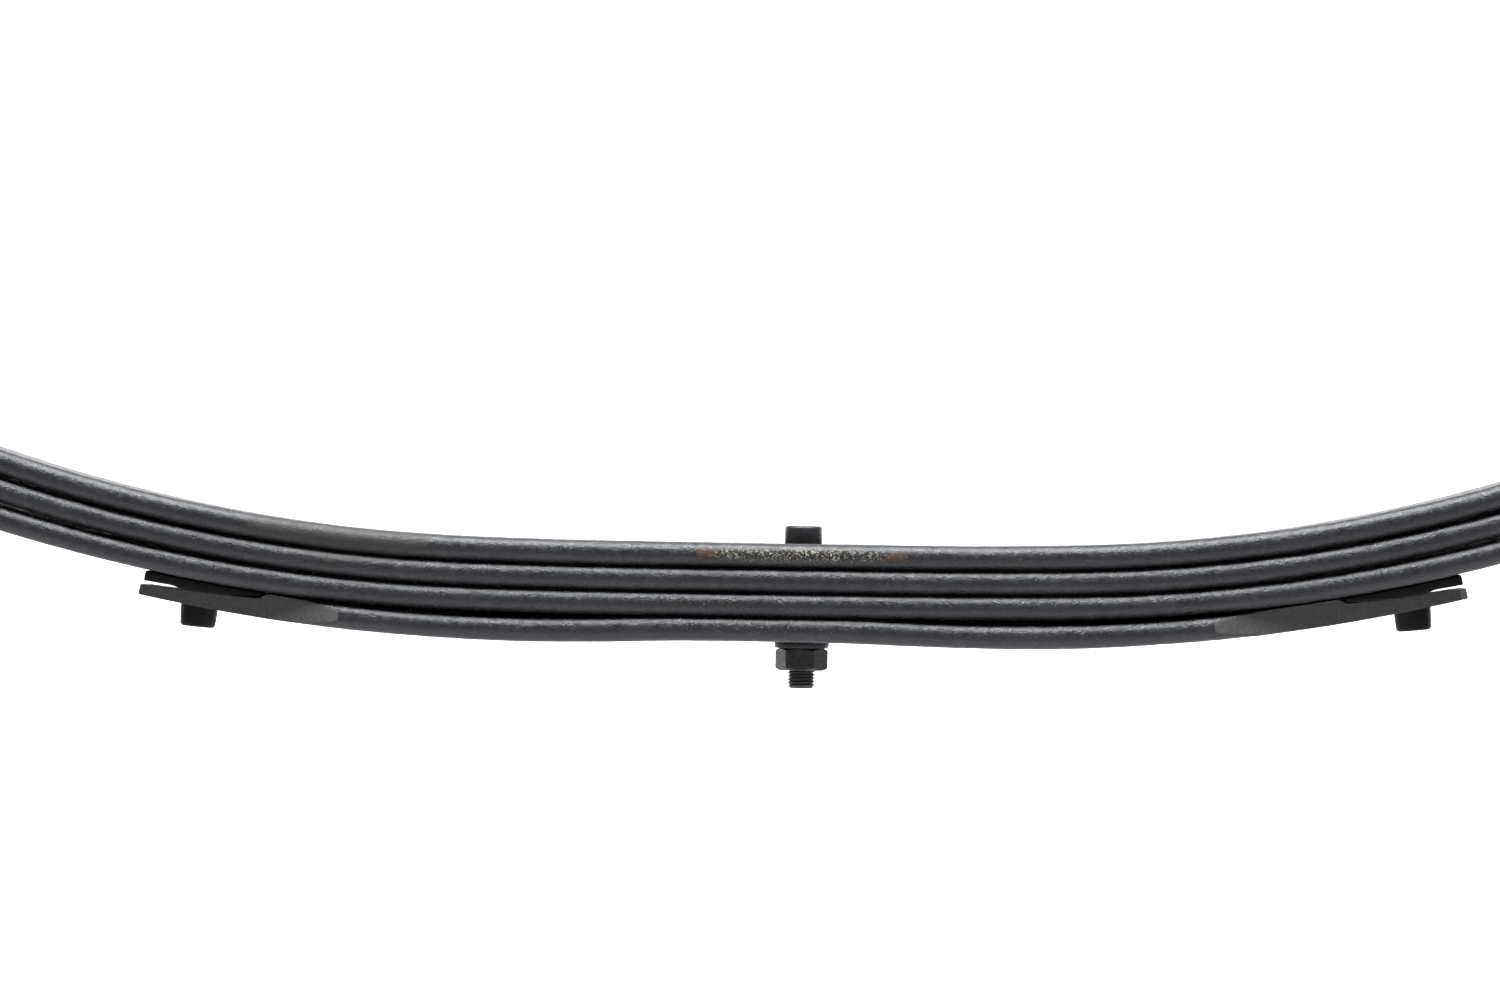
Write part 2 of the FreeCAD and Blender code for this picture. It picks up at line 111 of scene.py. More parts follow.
def leaf_path(node, sign):
    """Underside of one leaf's arm as stations: outward distance, point (x, z), unit normal towards the top,
    thickness and half width at each."""
    shape = Shape(node, sign)
    ends = box_mm(node)
    high = ends[1].x if sign > 0 else -ends[0].x
    far = high + 1.0
    eye = None
    if node == "main_leaf":
        low_s, high_s = box_mm("rear_eye_sleeve" if sign > 0 else "front_eye_sleeve")
        eye_x = sign * (low_s.x + high_s.x) / 2
        eye = (eye_x, (low_s.z + high_s.z) / 2, high - eye_x)
    xs, zs = [], []
    x = 0.0
    while x < far:
        found = shape.hit((x, OFF_CENTRE, BELOW), (0, 0, 1))
        if found is None:
            break
        if eye and x > 300 and math.hypot(x - eye[0], found.z - eye[1]) < eye[2] + 0.35:
            break
        xs.append(x)
        zs.append(found.z)
        x += PROFILE_STEP
    xs, zs = np.array(xs), np.array(zs)
    count = int(SMOOTHING / PROFILE_STEP) // 2 * 2 + 1
    zs = smoothed(smoothed(zs, count), count)
    if eye is None:
        # the last stretch, up to the tip itself
        slope = (zs[-1] - zs[-2]) / PROFILE_STEP
        lead = [d for d in np.arange(0.2, 2 * PROFILE_STEP, 0.1)
                if shape.hit((xs[-1] + d, 2.0, BELOW), (0, 0, 1)) is not None]
        if lead:
            xs = np.append(xs, xs[-1] + lead[-1])
            zs = np.append(zs, zs[-1] + slope * lead[-1])
    path = [(a, b) for a, b in zip(xs, zs)]
    if eye:
        start = math.atan2(path[-1][1] - eye[1], path[-1][0] - eye[0])
        for k in range(1, EYE_WRAP // EYE_STEP + 1):
            turn = start + math.radians(EYE_STEP * k)
            path.append((eye[0] + eye[2] * math.cos(turn), eye[1] + eye[2] * math.sin(turn)))
    path = np.array(path)
    steps = np.hypot(*np.diff(path, axis=0).T)
    s = np.concatenate([[0], np.cumsum(steps)])
    length = s[-1]
    at = np.linspace(0, length, int(length / STATION) + 1)
    if eye is None:
        at = np.concatenate([at[at < length - TIP_STATIONS[0]], length - np.array(TIP_STATIONS)])
    px, pz = np.interp(at, s, path[:, 0]), np.interp(at, s, path[:, 1])
    tx, tz = np.gradient(px, at), np.gradient(pz, at)
    size = np.hypot(tx, tz)
    tx, tz = tx / size, tz / size
    tx[0], tz[0] = 1.0, 0.0
    nx, nz = -tz, tx
    stations = []
    last = None
    for k in range(len(at)):
        start = (px[k] + 0.3 * nx[k], OFF_CENTRE if eye or at[k] < length - 20 else 9.0, pz[k] + 0.3 * nz[k])
        if eye:
            thick = LEAF_THICK
        else:
            found = shape.hit(start, (nx[k], 0, nz[k]))
            thick = 0.3 + (found - Vector(start)).length if found is not None else last
            if last is not None and abs(thick - last) > 1.0:
                thick = last
        last = thick
        middle = (px[k] + thick / 2 * nx[k], 60.0, pz[k] + thick / 2 * nz[k])
        side = shape.hit(middle, (0, -1, 0))
        before = stations[-1][-1] if stations else FULL_HALF
        half = side.y if side is not None and side.y > 5 else before
        stations.append((at[k], px[k], pz[k], nx[k], nz[k], thick, half))
    return np.array(stations)


# ---------------------------------------------------------------- mesh helpers
def finished(name, verts, faces):
    """A smooth-shaded object from millimetre points, with the rest position kept for its material."""
    mesh = bpy.data.meshes.new(name)
    verts = np.asarray(verts, float)
    mesh.from_pydata((verts * MM).tolist(), [], faces)
    mesh.validate()
    rest = mesh.attributes.new("rest", "FLOAT_VECTOR", "POINT")
    rest.data.foreach_set("vector", verts.astype(np.float32).ravel())
    mesh.polygons.foreach_set("use_smooth", [True] * len(mesh.polygons))
    obj = bpy.data.objects.new(name, mesh)
    bpy.context.scene.collection.objects.link(obj)
    return obj


def outward(obj, angle=40.0):
    """Turns the faces outwards and marks edges sharper than the angle."""
    work = bmesh.new()
    work.from_mesh(obj.data)
    bmesh.ops.recalc_face_normals(work, faces=work.faces)
    limit = math.radians(angle)
    for edge in work.edges:
        edge.smooth = not (len(edge.link_faces) == 2 and edge.calc_face_angle(0) > limit)
    work.to_mesh(obj.data)
    work.free()
    return obj


def grid_faces(rows, columns, closed=True):
    faces = []
    span = columns if closed else columns - 1
    for r in range(rows - 1):
        for c in range(span):
            d = (c + 1) % columns
            faces.append((r * columns + c, r * columns + d, (r + 1) * columns + d, (r + 1) * columns + c))
    return faces


def rounded_ring(half, thick):
    """Points (y, height) round a leaf's section with its rolled edges, its underside at height 0. A half under
    the full half width shears the edges off flat."""
    inner = FULL_HALF - EDGE_DEPTH
    points = []

    def edge(side):
        for k in range(EDGE_POINTS + 1):
            a = math.radians(-90 + 180 * k / EDGE_POINTS)
            out = inner + EDGE_DEPTH * abs(math.cos(a)) ** (2 / EDGE_POWER)
            up = math.copysign(abs(math.sin(a)) ** (2 / EDGE_POWER), a)
            points.append((side * min(out, half), thick / 2 * (1 + side * up)))

    edge(1)
    reach = min(inner, half)
    for k in range(1, FACE_POINTS):
        points.append((reach - 2 * reach * k / FACE_POINTS, thick))
    edge(-1)
    for k in range(1, FACE_POINTS):
        points.append((-reach + 2 * reach * k / FACE_POINTS, 0))
    return points


def relief(point, amount):
    """Height of the scaly surface at a point in millimetres."""
    p = Vector(point)
    broad = noise.noise(p / 42.0) * 0.16
    middle = noise.noise(p / 7.0 + Vector((31, 7, 3))) * 0.09
    fine = noise.noise(p / 1.9 + Vector((3, 17, 9))) * 0.07
    return amount * (broad + middle + fine)


def crown(above, x, z, nx, nz, thick):
    """How far a leaf's top rises at one station: up to the leaf above, where that is close."""
    start = (x + (thick + 0.02) * nx, OFF_CENTRE, z + (thick + 0.02) * nz)
    found = above.hit(start, (nx, 0, nz)) if above else None
    if found is None:
        return 0.0
    gap = (found - Vector(start)).length
    return gap * min(1.0, max(0.0, (CROWN_LIMIT - gap) / CROWN_FADE))


def leaf_half(node, end, sign):
    stations = leaf_path(node, sign)
    above = Shape("third_leaf", sign) if node == "fourth_leaf" else None
    tapered = node != "main_leaf"
    rows, verts, sheared = len(stations), [], []
    for k, (_, x, z, nx, nz, thick, half) in enumerate(stations):
        if tapered and k == len(stations) - 1:
            half -= 0.25
        rise = crown(above, x, z, nx, nz, thick)
        for y, up in rounded_ring(min(half, FULL_HALF), thick):
            if up > 0.9 * thick:
                up += rise * max(0.0, 1 - (y / CROWN_HALF) ** 2)
            verts.append((sign * (x + nx * up), y, z + nz * up))
            sheared.append(float(tapered and abs(y) > half - 0.02 and half < FULL_HALF - 0.3))
    columns = len(verts) // rows
    verts = np.array(verts).reshape(rows, columns, 3)
    # outward directions, for the relief
    along = np.gradient(verts, axis=0)
    around = np.roll(verts, -1, axis=1) - np.roll(verts, 1, axis=1)
    out = np.cross(along, around)
    out /= np.maximum(np.linalg.norm(out, axis=2, keepdims=True), 1e-9)
    middle = verts.mean(axis=1, keepdims=True)
    facing = np.sign(np.einsum("rcx,rcx->rc", out, verts - middle).sum())
    out *= facing
    for r in range(rows):
        fade = 1.0 if rows - r > 4 else 0.3
        for c in range(columns):
            amount = 0.4 * fade if sheared[r * columns + c] else fade
            verts[r, c] += out[r, c] * relief(verts[r, c], amount)
    verts = verts.reshape(-1, 3)
    faces = grid_faces(rows, columns)
    faces.append(tuple(range(columns)))
    faces.append(tuple(range((rows - 1) * columns, rows * columns)))
    obj = outward(finished(f"{end}_half_{node}", verts, faces))
    marks = obj.data.attributes.new("sheared", "FLOAT", "POINT")
    marks.data.foreach_set("value", sheared)
    return obj


# ---------------------------------------------------------------- turned pieces
def turned(name, profile, count=72, closed=False):
    """A piece turned about Z through (radius, z) points; a closed profile is a ring's section."""
    rows = list(profile)
    verts = [(r * math.cos(math.tau * k / count), r * math.sin(math.tau * k / count), z)
             for r, z in rows for k in range(count)]
    faces = grid_faces(len(rows), count)
    if closed:
        last = (len(rows) - 1) * count
        faces += [(last + k, last + (k + 1) % count, (k + 1) % count, k) for k in range(count)]
    else:
        faces += [tuple(range(count)), tuple(range((len(rows) - 1) * count, len(rows) * count))]
    return outward(finished(name, verts, faces), 50.0)


def rounded_corner(r, z, size, start, steps=5):
    """Points of a quarter round of that size about (r, z), turning from the start angle by 90 degrees."""
    return [(r + size * math.cos(math.radians(start + 90 * k / steps)),
             z + size * math.sin(math.radians(start + 90 * k / steps))) for k in range(steps + 1)]


def placed(obj, centre, axis, spin=0.0):
    """Turns an object's points from +Z to the axis and moves them to the centre, given in millimetres."""
    turn = Vector((0, 0, 1)).rotation_difference(Vector(axis)).to_matrix().to_4x4()
    move = Matrix.Translation(Vector(centre) * MM) @ turn @ Matrix.Rotation(spin, 4, "Z")
    obj.data.transform(move)
    points = np.empty(len(obj.data.vertices) * 3, np.float32)
    obj.data.vertices.foreach_get("co", points)
    obj.data.attributes["rest"].data.foreach_set("vector", points / MM)
    return obj


def joined(name, objs):
    """One object from several, each keeping its own shell."""
    work = bmesh.new()
    for obj in objs:
        work.from_mesh(obj.data)
    mesh = bpy.data.meshes.new(name)
    work.to_mesh(mesh)
    work.free()
    made = bpy.data.objects.new(name, mesh)
    bpy.context.scene.collection.objects.link(made)
    for obj in objs:
        bpy.data.objects.remove(obj)
    return made


def threaded(name, radius, depth, pitch, z_low, z_high, chamfer):
    """A threaded rod along Z, its low end chamfered."""
    count, step = 72, 0.09
    rows = int((z_high - z_low) / step) + 1
    verts = []
    for j in range(rows):
        z = z_low + (z_high - z_low) * j / (rows - 1)
        for k in range(count):
            phase = (z / pitch - k / count) % 1.0
            ridge = min(1.0, max(0.0, (0.5 - abs(phase - 0.5)) * 2.9 - 0.25))
            r = radius - depth * (1.0 - ridge)
            r = min(r, radius - chamfer + (z - z_low) * 0.9)
            a = math.tau * k / count
            verts.append((r * math.cos(a), r * math.sin(a), z))
    faces = grid_faces(rows, count)
    faces += [tuple(range(count)), tuple(range((rows - 1) * count, rows * count))]
    return outward(finished(name, verts, faces), 55.0)


def hex_nut(name, flats, bore, z_low, z_high, chamfer_low=True, chamfer_high=True):
    """A hexagon nut, or a bolt's head when the bore is 0, along Z with its corners turned off."""
    count, edge, bevel = 144, 0.45, math.tan(math.radians(30))
    seat = flats / 2 * 0.955
    rings = []
    for k in range(count):
        a = math.tau * k / count
        local = (a + math.pi / 6) % (math.pi / 3) - math.pi / 6
        out = min(flats / 2 / math.cos(local), flats / math.sqrt(3) - 0.12)
        low = z_low + (out - seat) * bevel * chamfer_low
        high = z_high - (out - seat) * bevel * chamfer_high
        section = [(seat, z_low), (out - 0.15, low - 0.1), (out, low + 0.12), (out, (low + high) / 2),
                   (out, high - 0.12), (out - 0.15, high + 0.1), (seat, z_high)]
        if not chamfer_low:
            section[0:3] = [(out - 0.35, z_low), (out - 0.12, z_low + 0.05), (out, z_low + 0.25)]
        if bore:
            section = [(bore, z_low + edge), (bore + edge, z_low)] + section
            section += [(bore + edge, z_high), (bore, z_high - edge)]
        rings.append([(r * math.cos(a), r * math.sin(a), z) for r, z in section])
    rows = len(rings[0])
    verts = [rings[k][j] for j in range(rows) for k in range(count)]
    faces = grid_faces(rows, count)
    if bore:
        last = (rows - 1) * count
        faces += [(last + k, last + (k + 1) % count, (k + 1) % count, k) for k in range(count)]
    else:
        faces += [tuple(range(count)), tuple(range((rows - 1) * count, rows * count))]
    return outward(finished(name, verts, faces), 24.0)


def dressed(obj, material, node, body=None):
    """Gives a finished piece its material, hides the CAD node that it stands in for and hangs it on its body,
    when one is given.
    """
    obj.data.materials.clear()
    obj.data.materials.append(material)
    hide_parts(node)
    if body:
        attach(obj, body)
    return obj


# ---------------------------------------------------------------- materials
def new_material(name):
    material = bpy.data.materials.new(name)
    material.use_nodes = True
    tree = material.node_tree
    return material, tree.nodes, tree.links, tree.nodes["Principled BSDF"]


def noise_at(tree, vector, scale, detail=3.0, rough=0.55, offset=0.0):
    nodes, links = tree.nodes, tree.links
    source = vector
    if offset:
        shift = nodes.new("ShaderNodeVectorMath")
        shift.inputs[1].default_value = (offset, offset * 0.7, -offset)
        links.new(vector, shift.inputs[0])
        source = shift.outputs[0]
    made = nodes.new("ShaderNodeTexNoise")
    made.inputs["Scale"].default_value = scale
    made.inputs["Detail"].default_value = detail
    made.inputs["Roughness"].default_value = rough
    links.new(source, made.inputs["Vector"])
    return made.outputs["Fac"]


def ramp(tree, value, low, high, from_value=0.0, to_value=1.0):
    made = tree.nodes.new("ShaderNodeMapRange")
    made.interpolation_type = "SMOOTHSTEP"
    made.inputs["From Min"].default_value = low
    made.inputs["From Max"].default_value = high
    made.inputs["To Min"].default_value = from_value
    made.inputs["To Max"].default_value = to_value
    tree.links.new(value, made.inputs["Value"])
    return made.outputs["Result"]


def math_node(tree, operation, a, b=None):
    made = tree.nodes.new("ShaderNodeMath")
    made.operation = operation
    for k, value in enumerate((a, b)):
        if value is None:
            continue
        if isinstance(value, (int, float)):
            made.inputs[k].default_value = value
        else:
            tree.links.new(value, made.inputs[k])
    return made.outputs[0]


def mix(tree, factor, a, b):
    made = tree.nodes.new("ShaderNodeMix")
    made.data_type = "RGBA"
    for socket, value in ((made.inputs[0], factor), (made.inputs[6], a), (made.inputs[7], b)):
        if isinstance(value, (int, float)):
            socket.default_value = value
        elif isinstance(value, tuple):
            socket.default_value = (*value, 1.0)
        else:
            tree.links.new(value, socket)
    return made.outputs[2]


def bump(tree, height, distance, strength=1.0, after=None):
    made = tree.nodes.new("ShaderNodeBump")
    made.inputs["Distance"].default_value = distance
    made.inputs["Strength"].default_value = strength
    tree.links.new(height, made.inputs["Height"])
    if after is not None:
        tree.links.new(after, made.inputs["Normal"])
    return made.outputs["Normal"]


def rest_position(tree):
    made = tree.nodes.new("ShaderNodeAttribute")
    made.attribute_name = "rest"
    return made.outputs["Vector"]


def spot(tree, x, z, centre, half, ragged, raggedness=0.7):
    """1 inside a ragged ellipse on the leaf's side, in rest millimetres, and 0 outside it."""
    across = math_node(tree, "DIVIDE", math_node(tree, "SUBTRACT", x, centre[0]), half[0])
    up = math_node(tree, "DIVIDE", math_node(tree, "SUBTRACT", z, centre[1]), half[1])
    far = math_node(tree, "ADD", math_node(tree, "POWER", math_node(tree, "ABSOLUTE", across), 4.0),
                    math_node(tree, "POWER", math_node(tree, "ABSOLUTE", up), 2.0))
    far = math_node(tree, "ADD", far, math_node(tree, "MULTIPLY", math_node(tree, "SUBTRACT", ragged, 0.5),
                                                3.0 * raggedness))
    return ramp(tree, far, 1.2, 0.7)


def strongest(tree, values):
    """The largest of several values."""
    made = values[0]
    for value in values[1:]:
        made = math_node(tree, "MAXIMUM", made, value)
    return made


# marks on the near side: centre (x, z) and half sizes of each, in millimetres
GOLD_SPOTS = (((-2.0, -4.3), (33.0, 2.6)),)
GOLD_SPARSE = (((-10.0, -30.5), (26.0, 3.0)), ((-36.0, -21.5), (16.0, 2.5)), ((34.0, -13.5), (9.0, 1.8)))
RUST_SPOTS = (((-35.5, -4.2), (3.6, 2.2)), ((34.0, -4.6), (4.0, 1.9)), ((79.0, -5.0), (0.7, 1.5)))
WORN_SPOTS = (((-160.0, -1.0), (24.0, 7.5)), ((-190.0, 4.0), (14.0, 5.0)))


def leaf_paint():
    material, nodes, links, shader = new_material("spring_paint")
    tree = material.node_tree
    at = rest_position(tree)
    split = nodes.new("ShaderNodeSeparateXYZ")
    links.new(at, split.inputs[0])
    x, y, z = split.outputs
    near_side = ramp(tree, y, -24.0, -26.5)
    coarse = noise_at(tree, at, 0.05, 4.0)
    scale = noise_at(tree, at, 0.42, 3.0, 0.55, 3.0)
    grain = noise_at(tree, at, 1.5, 3.0, 0.6, 5.0)
    fine = noise_at(tree, at, 3.2, 2.0, 0.6, 9.0)

    def on_side(spots, ragged, raggedness=0.7):
        return math_node(tree, "MULTIPLY", near_side,
                         strongest(tree, [spot(tree, x, z, c, h, ragged, raggedness) for c, h in spots]))

    base = mix(tree, ramp(tree, coarse, 0.35, 0.7), (0.0115, 0.0118, 0.0132), (0.0185, 0.0188, 0.0200))
    pale = math_node(tree, "MULTIPLY", ramp(tree, fine, 0.62, 0.72), 0.35)
    base = mix(tree, pale, base, (0.07, 0.07, 0.072))
    worn = on_side(WORN_SPOTS, math_node(tree, "MULTIPLY", math_node(tree, "ADD", coarse, scale), 0.5), 1.6)
    base = mix(tree, math_node(tree, "MULTIPLY", worn, ramp(tree, grain, 0.3, 0.7, 0.5, 1.0)), base,
               (0.027, 0.0225, 0.0185))
    rust = math_node(tree, "MULTIPLY", on_side(RUST_SPOTS, grain, 1.5),
                     ramp(tree, fine, 0.38, 0.56, 0.25, 1.0))
    rust_colour = mix(tree, ramp(tree, fine, 0.35, 0.65), (0.030, 0.016, 0.010), (0.095, 0.040, 0.020))
    base = mix(tree, rust, base, rust_colour)
    flecks = math_node(tree, "MULTIPLY", ramp(tree, grain, 0.53, 0.62), ramp(tree, fine, 0.40, 0.52))
    gold = math_node(tree, "MULTIPLY", on_side(GOLD_SPOTS, scale, 0.9), flecks)
    rare = math_node(tree, "MULTIPLY", ramp(tree, grain, 0.62, 0.68), ramp(tree, fine, 0.50, 0.58))
    sparse = math_node(tree, "MULTIPLY", on_side(GOLD_SPARSE, scale, 0.9), rare)
    gold = math_node(tree, "MAXIMUM", gold, sparse)
    gold_colour = mix(tree, ramp(tree, scale, 0.4, 0.6), (0.24, 0.19, 0.11), (0.58, 0.53, 0.38))
    base = mix(tree, gold, base, gold_colour)
    dust = math_node(tree, "MULTIPLY", ramp(tree, fine, 0.66, 0.71), ramp(tree, grain, 0.58, 0.64))
    base = mix(tree, math_node(tree, "MULTIPLY", dust, 0.8), base, (0.26, 0.25, 0.23))
    marks = nodes.new("ShaderNodeAttribute")
    marks.attribute_name = "sheared"
    sheared = ramp(tree, marks.outputs["Fac"], 0.3, 0.7)
    stretch = nodes.new("ShaderNodeVectorMath")
    stretch.operation = "MULTIPLY"
    stretch.inputs[1].default_value = (1.0, 1.0, 0.12)
    links.new(at, stretch.inputs[0])
    strokes = noise_at(tree, stretch.outputs[0], 2.4, 3.0, 0.65)
    cut = mix(tree, ramp(tree, strokes, 0.3, 0.7), (0.062, 0.061, 0.058), (0.088, 0.087, 0.082))
    base = mix(tree, sheared, base, cut)
    chip = spot(tree, x, z, (243.2, -14.0), (2.2, 3.0), scale, 1.2)
    base = mix(tree, chip, base, (0.20, 0.20, 0.19))
    links.new(base, shader.inputs["Base Color"])
    dull = strongest(tree, [math_node(tree, "MULTIPLY", worn, 0.45), rust, gold, sheared])
    satin = ramp(tree, scale, 0.3, 0.7, 0.25, 0.42)
    rough = nodes.new("ShaderNodeMix")
    links.new(dull, rough.inputs[0])
    links.new(satin, rough.inputs[2])
    rough.inputs[3].default_value = 0.78
    links.new(rough.outputs[0], shader.inputs["Roughness"])
    shader.inputs["Specular IOR Level"].default_value = 0.6
    first = bump(tree, scale, 0.00024, 1.0)
    second = bump(tree, grain, 0.00025, 1.0, first)
    links.new(bump(tree, fine, 0.00006, 1.0, second), shader.inputs["Normal"])
    return material


def plain(name, colour, rough, metallic=0.0, grain_scale=300.0, depth=0.0001, spread=0.12):
    material, nodes, links, shader = new_material(name)
    tree = material.node_tree
    place = nodes.new("ShaderNodeTexCoord").outputs["Object"]
    patches = noise_at(tree, place, 60.0, 4.0)
    grain = noise_at(tree, place, grain_scale, 3.0, 0.6, 1.7)
    dark = tuple(c * 0.65 for c in colour)
    links.new(mix(tree, ramp(tree, patches, 0.3, 0.7), dark, colour), shader.inputs["Base Color"])
    links.new(ramp(tree, grain, 0.3, 0.7, rough - spread, rough + spread), shader.inputs["Roughness"])
    shader.inputs["Metallic"].default_value = metallic
    links.new(bump(tree, grain, depth), shader.inputs["Normal"])
    return material


paint = leaf_paint()
black_steel = plain("blackened_steel", (0.034, 0.034, 0.035), 0.36, 0.0, 900.0, 0.00006)
rubber = plain("black_rubber", (0.007, 0.007, 0.0075), 0.55, 0.0, 700.0, 0.00005)
rubber.node_tree.nodes["Principled BSDF"].inputs["Specular IOR Level"].default_value = 0.22
clip_paint = plain("clip_paint", (0.03, 0.031, 0.034), 0.42, 0.0, 500.0, 0.0001)
zinc = plain("dulled_zinc", (0.40, 0.39, 0.36), 0.42, 0.9, 500.0, 0.00003)
tube = plain("drawn_tube", (0.42, 0.41, 0.39), 0.32, 0.9, 700.0, 0.00002)


# ---------------------------------------------------------------- the leaves
def bends_with_arm(piece):
    """Bakes a piece's placing into its points; nothing here bends it."""
    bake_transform(piece)


for node in ("main_leaf", "second_leaf", "third_leaf", "fourth_leaf"):
    for end, sign in ENDS:
        piece = leaf_half(node, end, sign)
        piece.data.materials.append(paint)
        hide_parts(node)
        bends_with_arm(piece)


# ---------------------------------------------------------------- centre bolt, washer and nut
THREAD_R = 5.05
THREAD_DEPTH = 0.65
THREAD_PITCH = 1.25
HEAD_ROUND = 1.1
WASHER_BORE = 5.3
NUT_FLATS = 17.0
NUT_TURN = 5.5  # degrees between a line across two corners and the X axis


def on_seat(piece, node):
    """Dresses a piece of the centre bolt, which never moves."""
    dressed(piece, black_steel, node, "leaf_pack")


def centre_bolt():
    low, high = box_mm("centre_bolt")
    outer, top = high.x, high.z
    section = [(outer - 0.2, -0.1), (outer, 0.1)]
    section += rounded_corner(outer - HEAD_ROUND, top - HEAD_ROUND, HEAD_ROUND, 0, 7)
    section += [(outer - 2 * HEAD_ROUND, top - 0.02), (1.2, top - 0.1)]
    head = turned("bolt_head", section)
    shank = threaded("bolt_shank", THREAD_R, THREAD_DEPTH, THREAD_PITCH, low.z, -0.05, 1.0)
    on_seat(joined("centre_bolt_threaded", [head, shank]), "centre_bolt")


def centre_washer():
    low, high = box_mm("centre_washer")
    outer = high.x
    section = [(WASHER_BORE, low.z + 0.3), (WASHER_BORE + 0.3, low.z), (outer - 0.5, low.z)]
    section += [(outer - 0.1, low.z + 0.15), (outer, low.z + 0.6), (outer, high.z - 0.4)]
    section += [(outer - 0.35, high.z), (WASHER_BORE + 0.3, high.z), (WASHER_BORE, high.z - 0.3)]
    on_seat(turned("flat_washer", section, 96, True), "centre_washer")


def centre_nut():
    low, high = box_mm("centre_nut")
    nut = hex_nut("hexagon_nut", NUT_FLATS, THREAD_R + 0.05, low.z, high.z)
    on_seat(placed(nut, (0, 0, 0), (0, 0, 1), math.radians(30 - NUT_TURN)), "centre_nut")


centre_bolt()
centre_washer()
centre_nut()


# ---------------------------------------------------------------- tip pads
PAD_OPEN = 9.0  # length at a pad's outer end over which it stands clear of its own leaf
PAD_SETTLE = 8.0  # length over which it comes down onto the leaf after that
PEG_LEVELS = (2.0, 5.5)  # heights above a peg's lowest point at which its middle is found
PEG_FOOT = 1.75
PEG_LENGTH = 12.0


def peg_axis(node):
    """Centre of a pad's peg at its foot, and its direction upwards, from two levels across the CAD peg."""
    low, high = box_mm(node)
    shape = Shape(node, 1)
    centres = []
    for level in PEG_LEVELS:
        z = low.z + level
        left = shape.hit((low.x - 50, 0.0, z), (1, 0, 0))
        right = shape.hit((high.x + 50, 0.0, z), (-1, 0, 0))
        centres.append(Vector(((left.x + right.x) / 2, 0.0, z)))
    way = (centres[1] - centres[0]).normalized()
    return centres[0] - way * PEG_FOOT, way


def settle_on_leaf(found, leaf):
    """Lowers a pad's underside onto its own leaf, away from the tip, where the rubber is squeezed flat."""
    outer = found[-1][0]
    for row in found:
        top = leaf.hit((row[0], 12.0, row[1] + 0.5), (0, 0, -1))
        if top is not None:
            away = min(1.0, max(0.0, (outer - row[0] - PAD_OPEN) / PAD_SETTLE))
            row[1] -= (row[1] - top.z) * away * away * (3 - 2 * away)


def tip_pad(node, end, sign):
    shape = Shape(node, sign)
    low, high = box_mm(node)
    ends = sorted((sign * low.x, sign * high.x))
    half = high.y - 0.2
    xs = np.linspace(ends[0] + 0.15, ends[1] - 0.15, 36)
    rows, verts = 0, []
    found = []
    for x in xs:
        above = shape.hit((x, 20.0, ABOVE), (0, 0, -1))
        below = shape.hit((x, 20.0, BELOW), (0, 0, 1))
        if above is not None and below is not None:
            found.append((x, below.z, above.z))
    found = np.array(found)
    thick = found[:, 2] - found[:, 1]
    found = found[thick > 0.93 * np.median(thick)]
    for last, inner, edge in ((0, 3, ends[0] + 0.3), (-1, -4, ends[1] - 0.3)):
        rate = (found[last] - found[inner]) / (found[last][0] - found[inner][0])
        found[last] += rate * (edge - found[last][0])
    settle_on_leaf(found, Shape(node.replace("_pad", "").replace(f"{end}_", ""), sign))
    slope = np.gradient((found[:, 1] + found[:, 2]) / 2, found[:, 0])
    profile = [(0.42, 0)] + [(0.0, k) for k in range(len(found))] + [(0.42, len(found) - 1)]
    for n, (shrink, k) in enumerate(profile):
        x, z_low, z_high = found[k]
        if n == 0:
            x -= 0.3
        if n == len(profile) - 1:
            x += 0.3
        thick = z_high - z_low - 2 * shrink
        middle, lean = (z_high + z_low) / 2, slope[k]
        corner = 0.55
        ring = []
        for cy, cz, start in ((1, -1, -90), (1, 1, 0), (-1, 1, 90), (-1, -1, 180)):
            for step in range(4):
                a = math.radians(start + 30 * step)
                ring.append((cy * (half - shrink - corner) + corner * math.cos(a),
                             cz * (thick / 2 - corner) + corner * math.sin(a)))
        for y, up in ring:
            sag = 0.12 * noise.noise(Vector((x / 9, y / 9, 4.0)))
            verts.append((sign * (x - lean * up), y, middle + up + sag))
        rows += 1
    columns = len(verts) // rows
    faces = grid_faces(rows, columns)
    faces += [tuple(range(columns)), tuple(range((rows - 1) * columns, rows * columns))]
    strip = outward(finished(node + "_strip", verts, faces), 50.0)
    start, axis = peg_axis(node)
    section = [(2.0, 0.35), (4.4, 0.0)] + rounded_corner(5.2, 1.3, 1.3, -90)
    section += [(6.75, 5.0), (6.9, 8.5), (6.9, PEG_LENGTH)]
    peg = turned(node + "_peg", section)
    placed(peg, start, axis)
    return joined(node + "_rubber", [strip, peg])


for end, sign in ENDS:
    for leaf in ("second", "third", "fourth"):
        node = f"{end}_{leaf}_leaf_pad"
        body = f"{end}_arm" if leaf != "fourth" else None
        piece = dressed(tip_pad(node, end, sign), rubber, node, body)
        if body is None:
            bends_with_arm(piece)


# ---------------------------------------------------------------- clip bolts, nuts and spacer tubes
STRAP_OUTSIDE = 35.8
CLIP_FLATS = 13.0
CLIP_THREAD_R = 3.95
CLIP_THREAD_DEPTH = 0.6
CLIP_ROOT_R = 3.4
CLIP_NUT_BORE = 4.0
SPACER_BORE = 4.3


def mirrored(lower):
    """A ring's closed section from the points of its lower half."""
    return lower + [(r, -z) for r, z in reversed(lower)]


